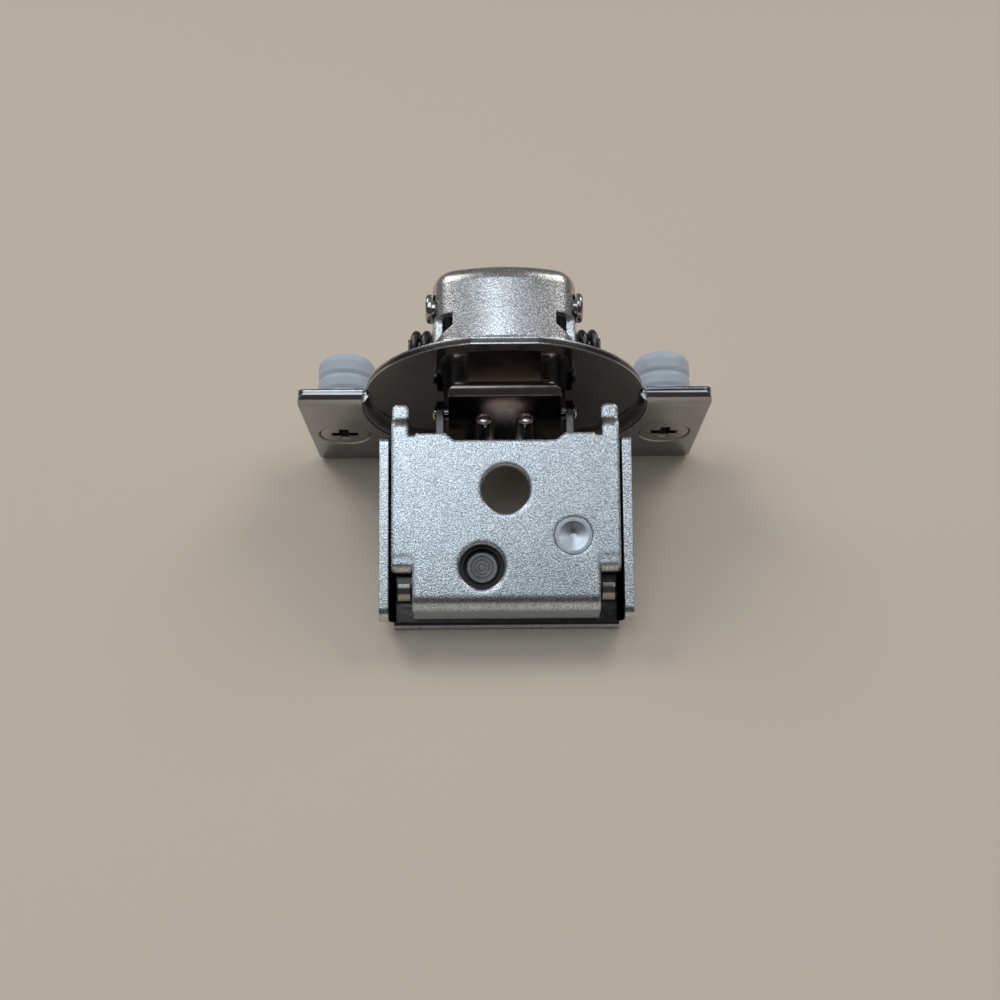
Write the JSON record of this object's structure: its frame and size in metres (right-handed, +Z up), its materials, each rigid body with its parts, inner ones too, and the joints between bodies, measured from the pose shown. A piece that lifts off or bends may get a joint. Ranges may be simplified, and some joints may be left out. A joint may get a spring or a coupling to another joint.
{
  "type": "concealed cup hinge",
  "caption": "Compact sprung concealed hinge for a face-frame cupboard door, with a drawn cup, dowelled ears, pivoting goose-neck arm and an adjustable mounting plate.",
  "frame": {"origin": "centre of the bounding box at the lowest point, on the surface the loose hinge lies on", "axes": "+X along the hinge axis, +Y from the mounting plate towards the cup, +Z up with the loose hinge lying like a tent"},
  "size_m": [0.0546, 0.0436, 0.0372],
  "materials": {
    "satin_nickel": "satin nickel plate with a fine grain",
    "bright_nickel": "bright nickel plate",
    "turned_nickel": "turned and nickel plated",
    "dark_steel": "dark plated steel",
    "spring_steel": "oiled spring wire",
    "nylon": "blue-grey moulded nylon"
  },
  "bodies": {
    "plate": {"mounting_plate": "satin_nickel"},
    "depth_cam": {"depth_cam": "turned_nickel"},
    "carriage": {"carriage": "bright_nickel"},
    "side_screw": {"side_screw": "dark_steel"},
    "arm": {"arm_channel": "satin_nickel", "pivot_bracket": "bright_nickel", "bracket_rivets": "bright_nickel", "goose_neck": "bright_nickel", "front_arm_pin": "bright_nickel", "rear_arm_pin": "bright_nickel"},
    "cup": {"cup": "satin_nickel", "cup_pin": "bright_nickel", "spring_stud_right": "dark_steel", "spring_stud_left": "dark_steel", "pivot_spacer_right": "nylon", "pivot_spacer_left": "nylon", "torsion_spring_right": "spring_steel", "torsion_spring_left": "spring_steel", "dowel_right": "nylon", "dowel_left": "nylon", "dowel_screw_right": "bright_nickel", "dowel_screw_left": "bright_nickel"}
  },
  "joints": [
    {"name": "depth_cam_turn", "type": "hinge", "parent": "plate", "child": "depth_cam", "pos_m": [0.00835, -0.01465, 0.01291], "axis": [0, -0.6518, 0.7583], "range_deg": [-50, 50]},
    {"name": "depth_slide", "type": "slide", "parent": "plate", "child": "carriage", "axis": [0, 0.7583, 0.6518], "range_m": [-0.0008, 0.0008]},
    {"name": "side_screw_turn", "type": "hinge", "parent": "carriage", "child": "side_screw", "pos_m": [-0.003, -0.01749, 0.01047], "axis": [0, -0.6518, 0.7583], "range_deg": [0, 900]},
    {"name": "side_slide", "type": "slide", "parent": "carriage", "child": "arm", "axis": [0, -0.6518, 0.7583], "range_m": [-0.002, 0]},
    {"name": "door_swing", "type": "hinge", "parent": "arm", "child": "cup", "pos_m": [0, 0.00616, 0.03241], "axis": [1, 0, 0], "range_deg": [0, 110], "stiffness_Nm_per_rad": 0.04, "springref_deg": -90}
  ],
  "couplings": [
    {"joint": "depth_cam_turn", "follows": "depth_slide", "rad_per_m": 1090.8},
    {"joint": "side_screw_turn", "follows": "side_slide", "rad_per_m": -7853.9}
  ]
}
